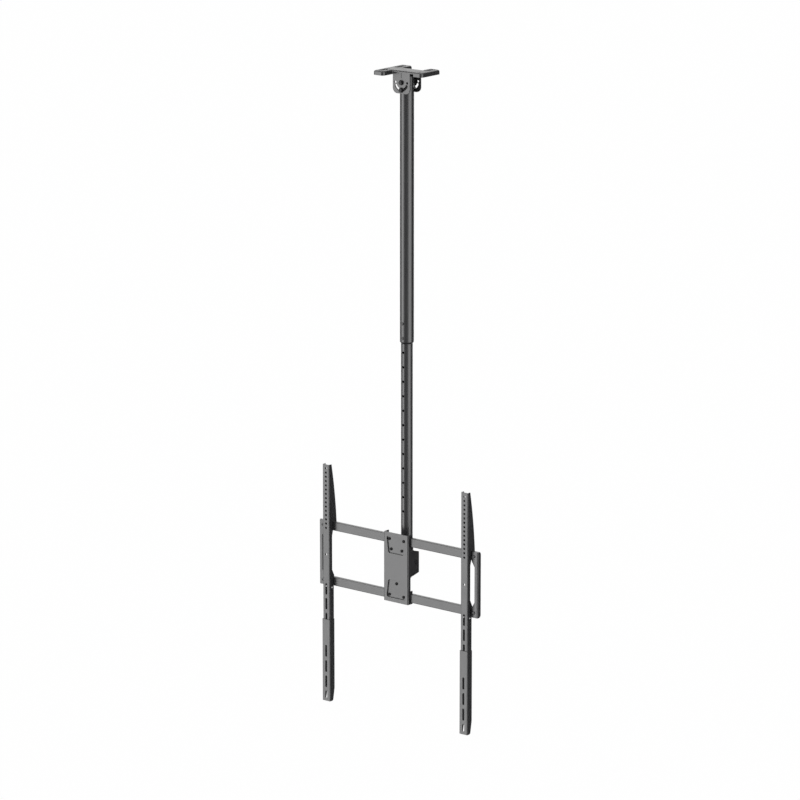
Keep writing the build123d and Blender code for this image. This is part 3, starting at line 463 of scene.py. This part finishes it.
def nylon_skin():
    """Moulded nylon: the fine grain of a spark-eroded mould, faint flow clouds, rounded and paler edges."""
    flow_size, grain_height, corner = 70.0, 0.0001, 0.0004
    tree = bpy.data.node_groups.new("nylon_skin", "ShaderNodeTree")
    colour_socket(tree, "Nylon", (0.5, 0.49, 0.45, 1.0))
    value_socket(tree, "Grain Size", 2600.0, 1.0, 9000.0)
    value_socket(tree, "Grain Depth", 0.15)
    value_socket(tree, "Paler", 1.3, 1.0, 4.0)
    output_sockets(tree, Tone="Color", Roughness="Float", Normal="Vector")
    took, gives = tree.nodes.new("NodeGroupInput").outputs, tree.nodes.new("NodeGroupOutput").inputs
    place = tree.nodes.new("ShaderNodeTexCoord").outputs["Object"]
    grain = noise(tree, place, took["Grain Size"], 2.0)
    flow = noise(tree, place, flow_size, 4.0, 0.6)
    rounded, edge = rounded_edges(tree, corner)
    worn = ranged(tree, edge, 0.0, 1.0, 1.0, took["Paler"])
    shade = arithmetic(tree, "MULTIPLY", ranged(tree, flow, 0.3, 0.7, 0.9, 1.1), worn)
    feed(tree, gives["Tone"], mixed_colour(tree, 1.0, took["Nylon"], shade, "MULTIPLY"))
    feed(tree, gives["Roughness"], ranged(tree, flow, 0.3, 0.7, 0.46, 0.62))
    feed(tree, gives["Normal"], raised(tree, grain, grain_height, took["Grain Depth"], rounded))
    return tree


nylon = nylon_skin()
dress(finish("natural_nylon", nylon, shine=0.5), "glide_ring")

# Thrust washer and retaining disc. The disc is steel, welded under the inner tube's foot and coated.
# It carries the head on a black nylon washer, on which the head turns.
black_nylon = finish("black_nylon", nylon, shine=0.5, nylon=(0.02, 0.02, 0.021, 1.0))
dress(black_nylon, "thrust_washer")
dress(finish("disc_coat", coat, coat=black, dust=0.05), "retaining_disc")

# Swivel collar with its lock screw. A turned steel collar with a boss for the screw at its back.
# It is welded to the yoke all round its foot, and the coat covers the weld.
head_coat = finish("swivel_head_coat", coat, coat=black, dust=0.14)
dress(head_coat, "swivel_collar")
screw_oxide = finish("screw_oxide", oxide, shine=0.22, ring_depth=0.0)
dress(screw_oxide, "swivel_lock_screw")
collar_bead, collar_ripples, proud = 0.0018, 84, 0.0003
collar_low, collar_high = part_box("swivel_collar")
turn = np.linspace(0.0, 2 * np.pi, 504, endpoint=False)
outward = np.stack([np.cos(turn), np.sin(turn), 0 * turn], axis=-1)
upward = np.stack([0 * turn, 0 * turn, 0 * turn + 1.0], axis=-1)
ring = (collar_high[0] + proud) * outward + (collar_low[2] + proud) * upward
collar_weld = weld_bead(ring, outward, upward, collar_bead, collar_ripples)
solid_piece("collar_weld", *collar_weld, "swivel_head", "black_powder_coat", weld_coat)

# Tilt yoke and tilt washers. The yoke is a steel strap folded down at both ends, coated. A black nylon
# friction washer on each leg holds the screen at its tilt.
dress(head_coat, "tilt_yoke")
dress(black_nylon, "tilt_washers")

# Tilt bolts and nuts. Low round heads outside the cheeks, blackened, with nuts inside the yoke's legs.
# The last turns of thread stand out of the nuts.
tilt_oxide = finish("tilt_oxide", oxide, shine=0.25, ring_depth=0.0)
dress(tilt_oxide, "tilt_bolts", "tilt_nuts")
tilt_low, tilt_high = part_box("tilt_bolts")
tilt_axis = ((tilt_low[1] + tilt_high[1]) / 2, (tilt_low[2] + tilt_high[2]) / 2)
nut_face_x, bolt_end_x = 0.03325, 0.03075
starts = [(nut_face_x, *tilt_axis), (-nut_face_x, *tilt_axis)]
ends = [(bolt_end_x, *tilt_axis), (-bolt_end_x, *tilt_axis)]
solid_piece("tilt_threads", *thread_ridges(starts, ends, **m8), "tv_frame", "black_steel", tilt_oxide)

# Rear bracket. A folded steel channel behind the front plate, coated. Its cheeks reach back to the
# tilt bolts.
dress(finish("rear_bracket_coat", coat, coat=black, cloud_size=30.0), "rear_bracket")

# Front plate. Pressed steel with two sunk panels for the screw heads, folded round the rails and coated.
# Its face is the smoothest of the mount's.
plate_coat = finish(
    "front_plate_coat", coat,
    coat=black, cloud_size=14.0, peel_depth=0.06, rough_low=0.28, rough_high=0.32,
)
dress(plate_coat, "front_plate")

# Rails. Two rectangular steel tubes, coated. The arms slide along them, so their coat carries fine rub
# marks lengthwise.
rail_coat = finish("rail_coat", coat, coat=black, cloud_size=12.0)
rub_along(rail_coat, (6.0, 900.0, 900.0), 0.15)
dress(rail_coat, "upper_rail", "lower_rail")

# Plate screws and nuts. Blackened button screws clamp the front plate to the bracket, and the outer four
# go through the rails too. A turn of thread stands out of each nut.
dress(screw_oxide, "plate_screws", "plate_nuts")
m6 = dict(core=0.00245, crest=0.003, pitch=0.001)
thread_length, rail_nut_y, panel_nut_y = 0.0015, -0.0279, -0.0429
rail_screws = [(-0.031, -1.5977), (0.031, -1.5977), (-0.031, -1.7932), (0.031, -1.7932)]
panel_screws = [(-0.023, -1.63265), (0.023, -1.63265), (0.0, -1.75125)]
starts = [(x, rail_nut_y, z) for x, z in rail_screws] + [(x, panel_nut_y, z) for x, z in panel_screws]
ends = [(x, y + thread_length, z) for x, y, z in starts]
solid_piece("plate_threads", *thread_ridges(starts, ends, **m6), "tv_frame", "black_steel", screw_oxide)

# End brackets with their screws. Folded steel bars that tie the two rails together at each end, coated.
# A button screw holds each leg to its rail, coated like the bracket so that it doesn't stand out.
end_coat = finish("end_bracket_coat", coat, coat=black, cloud_size=26.0, edge_rub=0.35)
dress(end_coat, "end_bracket_left", "end_bracket_right", "end_bracket_screws")

# Arms. Folded steel channels, punched with slots and holes and coated. They hook over the upper rail and
# slide along it, and the extensions slide on their feet.
arm_coat = finish("arm_coat", coat, coat=black, cloud_size=18.0)
rub_along(arm_coat, (900.0, 900.0, 9.0), 0.12)
dress(arm_coat, "arm_left", "arm_right")

# Extensions. Wider channels that sleeve over the arms' feet and carry more slots, coated.
# They are folded and punched like the arms, and their edges are painted a little lighter, partly as more rub
# wear and partly as painted sheen.
extension_coat = finish("extension_coat", coat, coat=black, cloud_size=18.0, edge_rub=0.35)
dress(extension_coat, "extension_left", "extension_right")

# Studio. A pale floor far below, and a world that is white to the camera. For light and reflections it
# holds tall soft boxes left and right of the camera, a weak one in front, a lit backdrop and a panel
# overhead.
floor_z, floor_half, white_share = -3.25, 40.0, 0.97
floor_mesh = bpy.data.meshes.new("studio_floor")
floor_corners = [(-floor_half, -floor_half), (floor_half, -floor_half)]
floor_corners += [(floor_half, floor_half), (-floor_half, floor_half)]
floor_mesh.from_pydata([(x, y, floor_z) for x, y in floor_corners], [], [(0, 1, 2, 3)])
floor = bpy.data.objects.new("studio_floor", floor_mesh)
bpy.context.scene.collection.objects.link(floor)
floor.visible_glossy = False
floor_paint = bpy.data.materials.new("studio_floor_paint")
floor_paint.use_nodes = True
tree = floor_paint.node_tree
paint = tree.nodes["Principled BSDF"]
paint.inputs["Base Color"].default_value = (0.85, 0.85, 0.85, 1.0)
paint.inputs["Roughness"].default_value = 0.9
paint.inputs["Specular IOR Level"].default_value = 0.1
glow = tree.nodes.new("ShaderNodeEmission")
seen = tree.nodes.new("ShaderNodeLightPath")
joined = tree.nodes.new("ShaderNodeMixShader")
feed(tree, joined.inputs[0], arithmetic(tree, "MULTIPLY", seen.outputs["Is Camera Ray"], white_share))
feed(tree, joined.inputs[1], paint.outputs["BSDF"])
feed(tree, joined.inputs[2], glow.outputs["Emission"])
feed(tree, tree.nodes["Material Output"].inputs["Surface"], joined.outputs["Shader"])
floor_mesh.materials.append(floor_paint)

world = bpy.data.worlds.new("studio")
bpy.context.scene.world = world
world.use_nodes = True
sky = world.node_tree
ground = sky.nodes["Background"]
ground.inputs["Color"].default_value = (1.0, 1.0, 1.0, 1.0)
sight_line = sky.nodes.new("ShaderNodeTexCoord").outputs["Generated"]
height = sky.nodes.new("ShaderNodeSeparateXYZ")
feed(sky, height.inputs["Vector"], sight_line)


def along(direction):
    """How far the line of sight goes along a direction."""
    node = sky.nodes.new("ShaderNodeVectorMath")
    node.operation = "DOT_PRODUCT"
    feed(sky, node.inputs[0], sight_line)
    feed(sky, node.inputs[1], direction)
    return node.outputs["Value"]


def within(value, half, soft):
    """One where a value is within half of nought, fading to nothing over a soft edge."""
    away = arithmetic(sky, "ABSOLUTE", value)
    return ranged(sky, away, half + soft, half - soft, 0.0, 1.0, smooth=True)


# Each soft box has its middle, half width and soft edge in degrees round the mount, nought being in front,
# then the height of its middle and half its height as sines of elevation, and its radiance.
camera_degrees, everywhere, height_edge = 38.9, 0.03, 0.08
soft_boxes = {
    "left": (-37.0, 22.0, 15.0, 0.12, 0.6, 3.85),
    "right": (89.0, 25.0, 16.0, 0.12, 0.6, 3.2),
    "front": (35.0, 36.0, 20.0, 0.12, 0.6, 0.33),
    "backdrop": (camera_degrees - 180.0, 38.0, 12.0, 0.05, 0.7, 1.45),
    "overhead": (0.0, 360.0, 1.0, 1.0, 0.2, 0.8),
}
light = everywhere
for middle, half, soft, rise, half_rise, radiance in soft_boxes.values():
    facing = math.radians(middle)
    forward = along((math.sin(facing), -math.cos(facing), 0.0))
    sideways = along((math.cos(facing), math.sin(facing), 0.0))
    aside = arithmetic(sky, "ARCTAN2", sideways, forward)
    across = within(aside, math.radians(half), math.radians(soft))
    upright = within(arithmetic(sky, "SUBTRACT", height.outputs["Z"], rise), half_rise, height_edge)
    box = arithmetic(sky, "MULTIPLY", arithmetic(sky, "MULTIPLY", across, upright), radiance)
    light = arithmetic(sky, "ADD", light, box)
seen = sky.nodes.new("ShaderNodeLightPath")
strength = sky.nodes.new("ShaderNodeMix")
feed(sky, strength.inputs[0], seen.outputs["Is Camera Ray"])
feed(sky, strength.inputs[2], light)
feed(sky, strength.inputs[3], 1.0)
feed(sky, ground.inputs["Strength"], strength.outputs[0])

camera_turn, camera_pitch = math.radians(camera_degrees), math.radians(13.5685)
picture_width, shift_right, shift_up = 800, -0.15, 0.5
lens = bpy.data.cameras.new("photo_camera")
lens.sensor_width = 36.0
lens.lens = 194.481
lens.shift_x = shift_right / picture_width
lens.shift_y = shift_up / picture_width
lens.clip_end = 200.0
photo_camera = bpy.data.objects.new("photo_camera", lens)
bpy.context.scene.collection.objects.link(photo_camera)
photo_camera.location = (8.8526, -11.0073, 2.286)
sight = Vector((
    -math.sin(camera_turn) * math.cos(camera_pitch),
    math.cos(camera_turn) * math.cos(camera_pitch),
    -math.sin(camera_pitch),
))
photo_camera.rotation_mode = "QUATERNION"
photo_camera.rotation_quaternion = sight.to_track_quat("-Z", "Y")
bpy.context.scene.camera = photo_camera
bpy.context.scene.view_settings.view_transform = "Standard"
